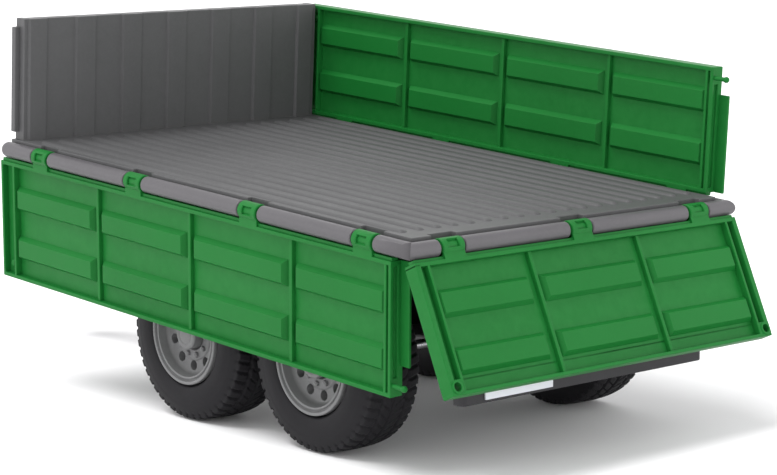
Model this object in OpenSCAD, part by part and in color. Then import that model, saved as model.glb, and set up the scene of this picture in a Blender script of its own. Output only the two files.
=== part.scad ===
// Tandem-axle drop-side tipping farm trailer, 1:16 moulded plastic model.
// Frame: +X forward, +Y left, +Z up, origin at the centre of the towing eye.
// Chassis parts are drawn level; bed parts are drawn in the bed's own frame
// (x = 0 near the rear rail, z = 0 on the deck top) and raised nose-up by bed_lift.

/* [Bed] */
// Towing eye centre to the bed datum above the rear rail
eye_to_bed = 335; // [320:1:350]
// Deck top above the towing eye at the bed datum
deck_above_eye = 54; // [50:1:58]
// Nose-up angle of the tipping bed as modelled
bed_lift = 3.5; // [0:0.5:6]
// Length of the side panels
panel_l = 239; // [239:1:240]
// Half distance between the left and right rail axes
rail_y = 80; // [79.5:0.5:80.5]
// Radius of the edge rails
rail_r = 3.1; // [3:0.1:3.3]
// Thickness of the deck plate
deck_t = 2.2; // [1.8:0.1:2.6]
// Number of lengthwise deck ribs
rib_n = 19; // [15:2:21]
// Height of the deck ribs
rib_h = 0.9; // [0.5:0.1:1.2]
// Height of the front wall above the deck
wall_h = 49.5; // [46:0.5:52]

/* [Drop sides] */
// Panel height, measured from its hinge axis
panel_top = 52.7; // [50:0.1:54]
// Height of the tailgate's free edge above its hinge axis
gate_top = 51.5; // [51.3:0.1:52]
// Panel thickness inside its hinge axis
panel_in = 2.3; // [2:0.1:2.6]
// Panel thickness outside its hinge axis
panel_out = 3.5; // [3:0.1:3.8]
// Half width of the tailgate
gate_w = 81.9; // [81:0.1:82]
// Opening angle of the left panel
left_open = 182.3; // [0:0.1:182.3]
// Opening angle of the right panel
right_open = 0; // [0:0.1:182]
// Opening angle of the tailgate
gate_open = 152.3; // [0:0.1:160]

/* [Wheels] */
// Tyre radius
tyre_r = 33.5; // [32:0.5:34]
// Axle height below the bed datum
axle_drop = 52.3; // [51:0.1:54]
// Rear axle ahead of the bed datum
axle_rear_x = 60.2; // [58:0.1:62]
// Front axle ahead of the bed datum
axle_front_x = 135.2; // [134:0.1:136]
// Axle rod radius
axle_r = 1.75; // [1.5:0.05:2]
// Number of wheel nuts and hand holes
nut_n = 10; // [6:1:12]

/* [Tipping gear] */
// Tip hinge position in the bed frame
tip_x = 2; // [1.5:0.5:2.5]
// Tip hinge depth below the deck top
tip_z = -38; // [-38.5:0.5:-37.5]
// Distance of both ram pins from the tip hinge
ram_arm = 115; // [114:1:116]
// Height of the bed's ram pin above the tip hinge
ram_pin_up = 25; // [24.5:0.5:25.5]
// Depth of the ram's base pin below the horizontal through the tip hinge, in degrees
ram_base_a = 7.7; // [7.5:0.02:8]

/* [Towing] */
// Towing eye bore radius
eye_r = 3; // [2.5:0.25:3.5]
// Towing eye thickness
eye_t = 5; // [4:0.5:6]

/* [Hidden] */
$fn = 64;
e = 0.01;
green = [0.13, 0.53, 0.24];
grey = [0.40, 0.40, 0.41];
pale = [0.56, 0.55, 0.56];
black = [0.10, 0.10, 0.11];
steel = [0.72, 0.72, 0.74];
rimc = [0.46, 0.46, 0.47];

rail_z = -4;
rear_rail_x = -2;
px0 = 5.6;                       // rear end of the side panels
px1 = px0 + panel_l;             // front end of the side panels
jour_r = 1.9;                    // journal turned into a rail at each clip
clip_ri = jour_r + 0.05;
clip_ro = 3.35;
clip_w = 10;
notch_w = 11.6;
side_clips = [20.5, 83.4, 153.6, 216.3];
gate_clips = [-62.8, 0, 62.8];
side_div = [60.2, 119.6, 178.4];
gate_div = [-27.6, 27.6];
panel_bot = 4.5;
ridges = [[14.4, 24.4], [34.8, 44.6]];

// tip hinge, ram base and ram top in the level frame under the bed datum
tip_gx = tip_x * cos(bed_lift) - tip_z * sin(bed_lift);
tip_gz = tip_x * sin(bed_lift) + tip_z * cos(bed_lift);
ram_top_a = asin(ram_pin_up / ram_arm);
base_gx = tip_gx + ram_arm * cos(ram_base_a);
base_gz = tip_gz - ram_arm * sin(ram_base_a);
chord_low = 2 * ram_arm * sin((ram_top_a + ram_base_a) / 2);
chord_now = 2 * ram_arm * sin((ram_top_a + ram_base_a + bed_lift) / 2);
chord_dir = 90 + (ram_top_a - ram_base_a + bed_lift) / 2;
ext = (chord_now - chord_low) / 3;      // extension of each ram stage as modelled
ram_bx = tip_x + ram_arm * cos(ram_top_a);   // ram top pin in the bed frame
ram_bz = tip_z + ram_pin_up;

module level() translate([-eye_to_bed, 0, deck_above_eye]) children();
module bed() level() rotate([0, -bed_lift, 0]) children();
module on_ram() level() translate([base_gx, 0, base_gz]) rotate([0, 90 - chord_dir, 0]) children();
module xcyl(r, l) rotate([0, 90, 0]) cylinder(r = r, h = l);
module ycyl(r, l) rotate([-90, 0, 0]) cylinder(r = r, h = l);
module box(a, b) translate(a) cube([b[0] - a[0], b[1] - a[1], b[2] - a[2]]);
// rounded-corner rectangle extruded along Z
module rbox(a, b, r) translate([0, 0, a[2]]) linear_extrude(b[2] - a[2])
  offset(r) translate([a[0] + r, a[1] + r]) square([b[0] - a[0] - 2 * r, b[1] - a[1] - 2 * r]);

// ---------- bed ----------
module rib(y) intersection() {
  union() {
    translate([11, y, rib_h - 2.6]) xcyl(2.6, 215);
    translate([11, y, rib_h - 2.6]) sphere(2.6);
    translate([226, y, rib_h - 2.6]) sphere(2.6);
  }
  box([5, y - 3, -0.6], [232, y + 3, 2]);
}

module bed_deck() color(grey) bed() difference() {
  union() {
    box([0.2, -rail_y + 2, -deck_t], [px1 - 1.2, rail_y - 2, 0]);
    // skirts that close the underside at the sides and the rear
    for (s = [-1, 1]) {
      box([2.4, s * (rail_y - 3.4) - 1.4, -6.4], [px1 - 1.2, s * (rail_y - 3.4) + 1.4, -deck_t + e]);
      box([1, s * (rail_y - 5.5) - 1.1, -11], [px1 - 1.2, s * (rail_y - 5.5) + 1.1, -deck_t + e]);
    }
    box([0.2, -rail_y + 2, -6.4], [4.1, rail_y - 2, -deck_t + e]);
    box([1, -rail_y + 4.4, -11], [4.1, rail_y - 4.4, -deck_t + e]);
    for (i = [0 : rib_n - 1]) rib((i - (rib_n - 1) / 2) * 8.1);
  }
  for (s = [-1, 1]) translate([-10, s * rail_y, rail_z]) xcyl(rail_r, 270);
  translate([rear_rail_x, -90, rail_z]) ycyl(rail_r, 180);
  for (s = [-1, 1], x = side_clips) box([x - notch_w / 2, s > 0 ? rail_y - 4.38 : -rail_y - 6, -9], [x + notch_w / 2, s > 0 ? rail_y + 6 : -rail_y + 4.38, 2]);
  for (y = gate_clips) box([rear_rail_x - 6, y - notch_w / 2, -9], [rear_rail_x + 4.9, y + notch_w / 2, 2]);
}

// straight rail along X from 0 to l, journals at the clip centres
module rail_bar(l, clips) difference() {
  xcyl(rail_r, l);
  for (c = clips) translate([c - notch_w / 2, 0, 0]) difference() {
    translate([0, 0, 0]) xcyl(rail_r + 1, notch_w);
    translate([-1, 0, 0]) xcyl(jour_r, notch_w + 2);
  }
}

module side_rail(s) bed() {
  difference() {
    translate([-8, s * rail_y, rail_z]) rail_bar(px1 - 3.1 + 8, [for (c = side_clips) c + 8]);
    translate([rear_rail_x, s * rail_y, rail_z]) rotate([0, 0, s * 45]) box([-20, -20, -5], [0, 20, 5]);
  }
  translate([px1 - 3.1, s * rail_y, rail_z]) sphere(rail_r);
}
module left_rail() color(pale) side_rail(1);
module right_rail() color(pale) side_rail(-1);
module rear_rail() color(pale) bed() difference() {
  translate([rear_rail_x, -rail_y - 6, rail_z]) rotate([0, 0, 90]) rail_bar(2 * rail_y + 12, [for (c = gate_clips) c + rail_y + 6]);
  for (s = [-1, 1]) translate([rear_rail_x + 0.03, s * rail_y, rail_z]) rotate([0, 0, s * 45]) box([0, -20, -5], [20, 20, 5]);
}

module front_wall() color(grey) bed() {
  box([236.4, -76.6, 0], [239.4, 76.6, wall_h]);
  for (k = [-3 : 3]) let (y = k * 23.4, w = abs(k) == 3 ? 4.0 : 4.7)
    translate([0, y, 0.5]) linear_extrude(wall_h - 0.5) polygon([[236.5, -w - 0.9], [235.4, -w], [235.4, w], [236.5, w + 0.9]]);
  for (s = [-1, 1]) {
    box([239.3, s > 0 ? 73.6 : -76.6, 0], [242.4, s > 0 ? 76.6 : -73.6, wall_h]);
    box([239.6, s > 0 ? 76.5 : -78.8, 3.2], [242.4, s > 0 ? 78.8 : -76.5, 46]);
  }
  box([239.3, -73.7, 0], [242.4, 73.7, 3]);
  box([239.3, -73.7, wall_h - 2.2], [241.4, 73.7, wall_h]);
}

module bed_sills() color(black) bed() for (s = [-1, 1]) mirror([0, s > 0 ? 0 : 1, 0]) {
  difference() {
    union() {
      box([22, 24, -13], [236, 30, -deck_t]);
      // hinge cheek that reaches down outside the chassis to the tip hinge
      translate([0, 34.3, 0]) rotate([90, 0, 0]) linear_extrude(4.4) union() {
        polygon([[tip_x - 4.6, tip_z], [tip_x + 4.6, tip_z], [24, -14], [24, -deck_t], [4.6, -deck_t], [4.6, -10]]);
        translate([tip_x, tip_z]) circle(4.6);
      }
    }
    box([-10, 20, -50], [21.5, 30.3, 0]);
    translate([-10, 20, -50]) cube([60, 10.3, 36.5]);
    translate([tip_x, 20, tip_z]) ycyl(2.05, 20);
  }
}

module bed_bearers() color(black) bed() for (x = [30, 76, 172, 222])
  for (s = [-1, 1]) box([x, s > 0 ? 30.02 : -73.38, -6.2], [x + 5, s > 0 ? 73.38 : -30.02, -deck_t]);

module ram_clevis() color(black) bed() difference() {
  union() {
    box([ram_bx - 9, -23.98, -5.6], [ram_bx + 9, 23.98, -deck_t]);
    for (s = [-1, 1]) {
      box([ram_bx - 4.2, s > 0 ? 5.2 : -8.4, ram_bz], [ram_bx + 4.2, s > 0 ? 8.4 : -5.2, -5.5]);
      translate([ram_bx, s > 0 ? 5.2 : -8.4, ram_bz]) ycyl(4.2, 3.2);
    }
  }
  translate([ram_bx, -12, ram_bz]) ycyl(1.55, 24);
}
module ram_top_pin() color(steel) bed() translate([ram_bx, -9.4, ram_bz]) {
  ycyl(1.5, 19.4);
  translate([0, -1.2, 0]) ycyl(2.6, 1.2);
}

// ---------- drop sides ----------
// bevelled ridge on the inner face: x0..x1 along the panel, z0..z1 up it
module ridge(x0, x1, z0, z1, d) {
  b = 1.5;
  intersection() {
    translate([x0 - 1, 0, 0]) rotate([90, 0, 90]) linear_extrude(x1 - x0 + 2)
      polygon([[0.5, z0], [0.3, z0], [-d, z0 + b], [-d, z1 - b], [0.3, z1], [0.5, z1]]);
    translate([0, 0, z0 - 1]) linear_extrude(z1 - z0 + 2)
      polygon([[x0, 0.5], [x0, 0.3], [x0 + b, -d], [x1 - b, -d], [x1, 0.3], [x1, 0.5]]);
  }
}

module clip(x) translate([x - clip_w / 2, 0, 0]) difference() {
  union() {
    xcyl(clip_ro, clip_w);
    box([0, -panel_in, 1.2], [clip_w, 2.2, panel_bot + 0.5]);
  }
  translate([-1, 0, 0]) xcyl(clip_ri, clip_w + 2);
  // window in the inner side, down to a thin bearing wall
  difference() {
    box([2.6, -4.5, -2.2], [clip_w - 2.6, 0, 1.1]);
    xcyl(2.45, clip_w);
  }
}

// panel shell between x = 0 and l with its flange, recesses, dividers and hinge clips
module panel_shell(l, divs, clips, wall = 1.4, top = panel_top) {
  difference() {
    box([0, -panel_in, panel_bot], [l, panel_out, top]);
    // inner recess, outer recess
    box([wall, -panel_in - 1, panel_bot + 1.6], [l - wall, 0.3, top - 1.6]);
    box([1.6, 1.8, panel_bot + 1.8], [l - 1.6, panel_out + 1, top - 1.8]);
  }
  for (d = divs) {
    box([d - 0.8, -panel_in + 0.9, panel_bot + 1.5], [d + 0.8, 0.4, top - 1.5]);
    box([d - 1.2, 1.7, panel_bot + 1.7], [d + 1.2, panel_out - 0.3, top - 1.7]);
  }
  // lip that closes the gap to the rail
  box([0.4, -1.5, 3.3], [l - 0.4, 1.5, panel_bot + 0.5]);
  for (c = clips) clip(c);
}

// side panel in hinge coordinates: x as on the bed, hinge axis on y = z = 0, outside at +y
module side_panel() translate([px0, 0, 0]) {
  l = panel_l;
  d = [for (v = side_div) v - px0];
  difference() {
    union() {
      panel_shell(l, d, [for (c = side_clips) c - px0]);
      // inner ribs that bound the end channels
      box([l - 9.6, -panel_in, panel_bot + 1.5], [l - 8.3, 0.4, panel_top - 1.5]);
      box([2.4, -panel_in, panel_bot + 1.5], [3.7, 0.4, panel_top - 1.5]);
      // front snap nub in the channel
      translate([l - 4.9, -0.8, 47]) ycyl(1.6, 1.3);
      // rear stop tab
      box([-4.4, 2.4, panel_bot], [0.5, panel_out, 42]);
      // rear latch peg
      translate([-5.6, -0.8, 48.5]) xcyl(0.85, 7.4);
      translate([-5.6, -0.8, 48.5]) sphere(1.2);
      for (r = ridges) {
        ridge(3.5, d[0] - 2, r[0], r[1], 1.9);
        ridge(d[0] + 3.2, d[1] - 2, r[0], r[1], 1.9);
        ridge(d[1] + 3.2, d[2] - 2, r[0], r[1], 1.9);
        ridge(d[2] + 3.2, l - 9.5, r[0], r[1], 1.9);
      }
    }
    // groove in the rear end face
    box([-1, -0.9, panel_bot + 2], [1.4 + e, 1.1, 46]);
  }
}

module tailgate_body() translate([-gate_w, 0, 0]) {
  l = 2 * gate_w;
  d = [for (v = gate_div) v + gate_w];
  difference() {
    union() {
      panel_shell(l, d, [for (c = gate_clips) c + gate_w], 2.3, gate_top);
      for (x = [5.2, l - 6.4]) box([x, -panel_in, panel_bot + 1.5], [x + 1.2, 0.4, gate_top - 1.5]);
      for (x = [2.1, l - 5.5]) box([x, -panel_in, 45.9], [x + 3.4, 0.5, gate_top - 1.4]);
      for (r = ridges) {
        ridge(6.3, d[0] - 2, r[0], r[1], 1.9);
        ridge(d[0] + 3.5, d[1] - 2, r[0], r[1], 1.9);
        ridge(d[1] + 3.5, l - 6.3, r[0], r[1], 1.9);
      }
    }
    for (x = [2.7, l - 2.7]) translate([x, -6, 48.5]) ycyl(1.6, 12);
  }
}

module left_side_panel() color(green) bed() translate([0, rail_y, rail_z]) rotate([-left_open, 0, 0]) side_panel();
module right_side_panel() color(green) bed() translate([0, -rail_y, rail_z]) rotate([right_open, 0, 0]) mirror([0, 1, 0]) side_panel();
module tailgate() color(green) bed() translate([rear_rail_x, 0, rail_z]) rotate([0, -gate_open, 0]) rotate([0, 0, 90]) tailgate_body();

// ---------- chassis ----------
module chassis_rail(s) level() mirror([0, s > 0 ? 0 : 1, 0]) difference() {
  union() {
    box([6, 24, -27.5], [232, 30, -13.6]);
    box([-2, 24, -27.5], [10, 30, -18]);
  }
  // weight-saving recess on the outer side
  for (x = [34, 84, 134, 184]) box([x, 28.6, -24.5], [x + 42, 31, -16.6]);
}
module left_chassis_rail() color(black) chassis_rail(1);
module right_chassis_rail() color(black) chassis_rail(-1);

module chassis_crossmembers() color(black) level() {
  for (x = [22, 88, 142, 196]) box([x, -23.98, -26.5], [x + 6, 23.98, -15]);
  box([226, -23.98, -27.5], [232, 23.98, -14]);
}

module ram_cradle() color(black) level() for (s = [-1, 1]) difference() {
  translate([0, s > 0 ? 13.7 : -10.5, 0]) rotate([90, 0, 0]) linear_extrude(3.2) difference() {
    union() {
      polygon([[94.02, -16.6], [94.02, -27.5], [base_gx - 4.5, base_gz - 1], [base_gx + 4.5, base_gz - 1], [137, -30], [141.98, -27.5], [141.98, -16.6]]);
      translate([base_gx, base_gz]) circle(4.6);
    }
  }
  translate([base_gx, -20, base_gz]) ycyl(2, 40);
}
module ram_base_pin() color(steel) level() translate([base_gx, -14.6, base_gz]) {
  ycyl(2, 29.2);
  translate([0, -1.4, 0]) ycyl(3.1, 1.4);
}
module tip_hinge_pins() color(steel) level() for (s = [-1, 1]) mirror([0, s > 0 ? 0 : 1, 0])
  translate([tip_gx, 22, tip_gz]) {
    ycyl(2, 13.8);
    translate([0, 12.7, 0]) ycyl(3.2, 1.6);
  }

// leaf-spring style hanger plate, drawn in X-Z
module leaf(xa) difference() {
  translate([xa, -42.5 + 62]) circle(r = 66, $fn = 160);
  translate([xa, -42.5 + 62]) circle(r = 62.2, $fn = 160);
  translate([xa - 80, -34]) square([160, 120]);
}
module suspension() difference() {
  translate([0, 35.4, 0]) rotate([90, 0, 0]) linear_extrude(5.2) {
    translate([30, -27.5]) square([136, 7]);
    for (x = [axle_rear_x - 31.2, axle_rear_x + 24.8, axle_front_x - 31.2, axle_front_x + 24.8])
      translate([x, -38]) square([6.4, 12]);
    intersection() {
      union() { leaf(axle_rear_x); leaf(axle_front_x); }
      translate([axle_rear_x - 31, -50]) square([axle_front_x - axle_rear_x + 62, 24]);
    }
    for (x = [axle_rear_x, axle_front_x]) {
      translate([x - 5.2, -axle_drop]) square([10.4, 12]);
      translate([x, -axle_drop]) circle(5.2);
    }
  }
  for (x = [axle_rear_x, axle_front_x]) translate([x, 0, -axle_drop]) ycyl(axle_r, 60);
}
// thin web that closes the space between the spring and its top bar
module spring_web() for (xa = [axle_rear_x, axle_front_x]) translate([0, 33.2, 0]) rotate([90, 0, 0]) linear_extrude(2)
  difference() {
    translate([xa - 29, -43]) square([58, 16.5]);
    difference() {
      translate([xa - 40, -70]) square([80, 50]);
      translate([xa, -42.5 + 62]) circle(r = 63, $fn = 160);
    }
  }
module left_suspension() color(black) level() { suspension(); spring_web(); }
module right_suspension() color(black) level() mirror([0, 1, 0]) { suspension(); spring_web(); }

module axle(x) level() translate([x, -69.4, -axle_drop]) ycyl(axle_r, 138.8);
module front_axle() color(steel) axle(axle_front_x);
module rear_axle() color(steel) axle(axle_rear_x);
module axle_push_nuts() color(steel) level() for (x = [axle_rear_x, axle_front_x], s = [-1, 1])
  mirror([0, s > 0 ? 0 : 1, 0]) translate([x, 67.4, -axle_drop]) difference() {
    ycyl(3.4, 0.9);
    translate([0, -1, 0]) ycyl(axle_r, 4);
  }

module drawbar() color(black) level() difference() {
  union() {
    rotate([90, 0, 0]) translate([0, 0, -7]) linear_extrude(14)
      polygon([[198, -27.6], [232.2, -27.6], [232.2, -16], [240, -16], [313, -40], [313, -62], [306, -62], [300, -52], [240, -38], [198, -38]]);
    box([308, -9.5, -63], [313, 9.5, -38.5]);
  }
  for (z = [-59, -49]) for (s = [-1, 1]) translate([300, s * 6, z]) xcyl(1, 20);
}
module towing_eye() color(steel) translate([0, 0, 0]) difference() {
  union() {
    translate([0, 0, -eye_t / 2]) cylinder(r = eye_r + 4, h = eye_t);
    translate([-19, 0, 0]) xcyl(2.4, 14);
    translate([-eye_to_bed + 313.05, 0, 0]) box([0, -9, -8], [3, 9, 8]);
  }
  translate([0, 0, -10]) cylinder(r = eye_r, h = 20);
  for (z = [-5, 5]) for (s = [-1, 1]) translate([-30, s * 6, z]) xcyl(1, 20);
}
module eye_bolts() color(steel) level() for (z = [-59, -49]) for (s = [-1, 1]) translate([0, s * 6, z]) {
  translate([305.5, 0, 0]) xcyl(1, 12);
  translate([316.1, 0, 0]) rotate([0, 90, 0]) cylinder(r = 1.9, h = 1.5, $fn = 6);
}

module bumper_arms() color(black) level() for (s = [-1, 1]) mirror([0, s > 0 ? 0 : 1, 0])
  translate([0, 29.8, 0]) rotate([90, 0, 0]) linear_extrude(5.2) difference() {
    union() {
      polygon([[-2, -27.5], [16, -27.5], [11, -36], [6, -46], [1, -51], [1, -57], [-2.98, -57], [-2.98, -48]]);
      translate([tip_gx, tip_gz]) circle(4.8);
    }
    translate([tip_gx, tip_gz]) circle(2);
  }
module rear_bumper() color(black) level() translate([0, 0, -59.5]) linear_extrude(11)
  polygon(concat([[-3, -62], [-3, 62]], [for (a = [0 : 15 : 90]) [-5.5 - 2.5 * sin(a), 59.5 + 2.5 * cos(a)]], [for (a = [0 : 15 : 90]) [-5.5 - 2.5 * cos(a), -59.5 - 2.5 * sin(a)]]));
module number_plate() color("white") level() box([-8.8, 18.6, -58.2], [-8.01, 51.6, -50.2]);

// ---------- telescopic ram ----------
module tube(z0, z1, ro, ri, zb) difference() {
  translate([0, 0, z0]) cylinder(r = ro, h = z1 - z0);
  translate([0, 0, zb]) cylinder(r = ri, h = z1 - zb + 1);
}
module ram_barrel() color(black) on_ram() difference() {
  union() {
    translate([0, 0, -5.6]) cylinder(r = 8.6, h = 34.4);
    translate([0, 0, 27.6]) cylinder(r = 9.2, h = 3.4);
  }
  translate([0, 0, 2.6]) cylinder(r = 7.5, h = 40);
  translate([0, -20, 0]) ycyl(2.05, 40);
}
module ram_stage_1() color(steel) on_ram() translate([0, 0, ext]) tube(3, 32.5, 7.2, 6.0, 4.2);
module ram_stage_2() color(steel) on_ram() translate([0, 0, 2 * ext]) tube(4.5, 34, 5.7, 4.5, 5.7);
module ram_rod() color(steel) on_ram() difference() {
  union() {
    translate([0, 0, 6 + 3 * ext]) cylinder(r = 4.2, h = chord_low - 6 - 3);
    translate([0, 0, chord_now]) intersection() {
      union() { translate([0, -4.8, 0]) ycyl(4.9, 9.6); box([-4.9, -4.8, -4.5], [4.9, 4.8, 0]); }
      box([-4.2, -4.8, -6], [4.2, 4.8, 4.9]);
    }
  }
  // slotted eye lets the constant-ratio ram follow the bed's arc
  translate([0, -10, chord_now]) {
    translate([0, 0, -0.6]) ycyl(1.8, 20);
    translate([0, 0, 1.5]) ycyl(1.8, 20);
    box([-1.8, 0, -0.6], [1.8, 20, 1.5]);
  }
}

// ---------- wheels ----------
// wheel modules are drawn with the axle on Z, outboard side at +Z, then laid over
module at_wheel(x, s) level() mirror([0, s > 0 ? 0 : 1, 0]) translate([x, 0, -axle_drop]) rotate([-90, 0, 0]) children();
module tyre() rotate_extrude($fn = 96) polygon([[17.45, 50.2], [19.6, 50.0], [20.2, 48.6], [24, 47.9], [29, 48.4],
  [32.4, 50.0], [33.2, 51.6], [tyre_r, 54.5], [tyre_r, 66.6], [33.2, 69.5], [32.4, 71.1], [29, 72.8], [24, 73.3],
  [20.2, 72.4], [19.6, 71.0], [17.45, 70.8], [17.45, 66.6], [20.4, 66.4], [24, 69.4], [28, 68.6], [29.6, 65.6],
  [29.6, 55.6], [28, 52.6], [24, 51.8], [20.4, 54.6], [17.45, 54.4]]);
module rim() difference() {
  rotate_extrude($fn = 96) polygon([[1.8, 47.2], [5, 47.2], [5, 62], [14.2, 64.6], [15.4, 63], [15.8, 48.8], [17.2, 48.2], [18.6, 48.2], [19.3, 48.4], [19.3, 49.5],
    [17.4, 50.2], [17.4, 70.8], [19.3, 71.6], [19.3, 73.1], [18.9, 73.35], [18.2, 73.35], [17.9, 72.3], [17.2, 72.3], [16.9, 72.9], [16.4, 72.9],
    [15.9, 69.2], [14.6, 68.4], [10.6, 68.0], [10.1, 68.6], [6.6, 68.6], [6.0, 68.0], [5.9, 66.4], [1.8, 66.4]]);
  for (i = [0 : nut_n - 1]) rotate(i * 360 / nut_n) translate([12.5, 0, 55]) cylinder(r = 1.85, h = 20, $fn = 32);
}
module hub_cap() difference() {
  union() {
    translate([0, 0, 66.5]) cylinder(r = 5.8, h = 5.3);
    translate([0, 0, 71.7]) cylinder(r = 5.3, h = 0.6);
  }
  translate([0, 0, 66]) cylinder(r = 4.4, h = 4.8);
}
module wheel_nuts() for (i = [0 : nut_n - 1]) rotate((i + 0.5) * 360 / nut_n) translate([8.35, 0, 68.62]) {
  cylinder(r = 1.15, h = 1.1, $fn = 6);
}
module front_left_tyre() color([0.13, 0.13, 0.13]) at_wheel(axle_front_x, 1) tyre();
module front_left_rim() color(rimc) at_wheel(axle_front_x, 1) rim();
module front_left_hub_cap() color(rimc) at_wheel(axle_front_x, 1) hub_cap();
module front_left_wheel_nuts() color(rimc) at_wheel(axle_front_x, 1) wheel_nuts();
module front_right_tyre() color([0.13, 0.13, 0.13]) at_wheel(axle_front_x, -1) tyre();
module front_right_rim() color(rimc) at_wheel(axle_front_x, -1) rim();
module front_right_hub_cap() color(rimc) at_wheel(axle_front_x, -1) hub_cap();
module front_right_wheel_nuts() color(rimc) at_wheel(axle_front_x, -1) wheel_nuts();
module rear_left_tyre() color([0.13, 0.13, 0.13]) at_wheel(axle_rear_x, 1) tyre();
module rear_left_rim() color(rimc) at_wheel(axle_rear_x, 1) rim();
module rear_left_hub_cap() color(rimc) at_wheel(axle_rear_x, 1) hub_cap();
module rear_left_wheel_nuts() color(rimc) at_wheel(axle_rear_x, 1) wheel_nuts();
module rear_right_tyre() color([0.13, 0.13, 0.13]) at_wheel(axle_rear_x, -1) tyre();
module rear_right_rim() color(rimc) at_wheel(axle_rear_x, -1) rim();
module rear_right_hub_cap() color(rimc) at_wheel(axle_rear_x, -1) hub_cap();
module rear_right_wheel_nuts() color(rimc) at_wheel(axle_rear_x, -1) wheel_nuts();

bed_deck();
left_rail();
right_rail();
rear_rail();
front_wall();
bed_sills();
bed_bearers();
ram_clevis();
ram_top_pin();
left_side_panel();
right_side_panel();
tailgate();
left_chassis_rail();
right_chassis_rail();
chassis_crossmembers();
ram_cradle();
ram_base_pin();
tip_hinge_pins();
left_suspension();
right_suspension();
front_axle();
rear_axle();
axle_push_nuts();
drawbar();
towing_eye();
eye_bolts();
bumper_arms();
rear_bumper();
number_plate();
ram_barrel();
ram_stage_1();
ram_stage_2();
ram_rod();
front_left_tyre();
front_left_rim();
front_left_hub_cap();
front_left_wheel_nuts();
front_right_tyre();
front_right_rim();
front_right_hub_cap();
front_right_wheel_nuts();
rear_left_tyre();
rear_left_rim();
rear_left_hub_cap();
rear_left_wheel_nuts();
rear_right_tyre();
rear_right_rim();
rear_right_hub_cap();
rear_right_wheel_nuts();
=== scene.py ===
# Looks for the 1:16 drop-side tipping trailer: every length below is in millimetres in the
# part's own frames (bed, level chassis, wheel), and goes to the row frame in metres at the end.
import bpy, bmesh, math
from math import sin, cos, pi, radians, sqrt
from mathutils import Matrix, Vector


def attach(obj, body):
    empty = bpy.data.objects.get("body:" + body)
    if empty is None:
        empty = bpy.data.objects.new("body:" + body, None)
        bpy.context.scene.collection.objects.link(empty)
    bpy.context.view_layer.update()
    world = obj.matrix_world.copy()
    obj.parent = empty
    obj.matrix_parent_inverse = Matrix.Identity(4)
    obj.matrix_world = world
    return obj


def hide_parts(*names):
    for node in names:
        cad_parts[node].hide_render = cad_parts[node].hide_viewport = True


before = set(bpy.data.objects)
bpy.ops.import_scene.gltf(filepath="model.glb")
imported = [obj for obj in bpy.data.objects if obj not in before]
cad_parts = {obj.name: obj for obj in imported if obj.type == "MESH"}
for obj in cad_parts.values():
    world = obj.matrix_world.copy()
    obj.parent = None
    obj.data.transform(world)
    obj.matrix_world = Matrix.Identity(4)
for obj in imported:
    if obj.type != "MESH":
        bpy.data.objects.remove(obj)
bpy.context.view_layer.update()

scene = bpy.context.scene

# ------------------------------------------------------------------ frames
T = lambda x, y, z: Matrix.Translation((x, y, z))
R = lambda a, ax: Matrix.Rotation(radians(a), 4, ax)
MM = Matrix.Scale(0.001, 4)
LEVEL = T(-335, 0, 54)
BED = LEVEL @ R(-3.5, 'Y')
FLIPY = Matrix.Diagonal((1, -1, 1, 1))
LEFT_PANEL = BED @ T(0, 80, -4) @ R(-182.3, 'X') @ T(5.6, 0, 0)
RIGHT_PANEL = BED @ T(0, -80, -4) @ FLIPY @ T(5.6, 0, 0)
GATE = BED @ T(-2, 0, -4) @ R(-152.3, 'Y') @ R(90, 'Z') @ T(-81.9, 0, 0)

PB, PT, PIN, POUT = 4.5, 52.7, 2.3, 3.5
SIDE_CLIPS = [20.5, 83.4, 153.6, 216.3]
GATE_CLIPS = [-62.8, 0.0, 62.8]
SIDE_DIV = [60.2 - 5.6, 119.6 - 5.6, 178.4 - 5.6]
GATE_DIV = [81.9 - 27.6, 81.9 + 27.6]
RIDGES = [(14.4, 24.4), (34.8, 44.6)]
RIB_N, RIB_PITCH, RIB_H = 19, 8.1, 0.9


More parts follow.
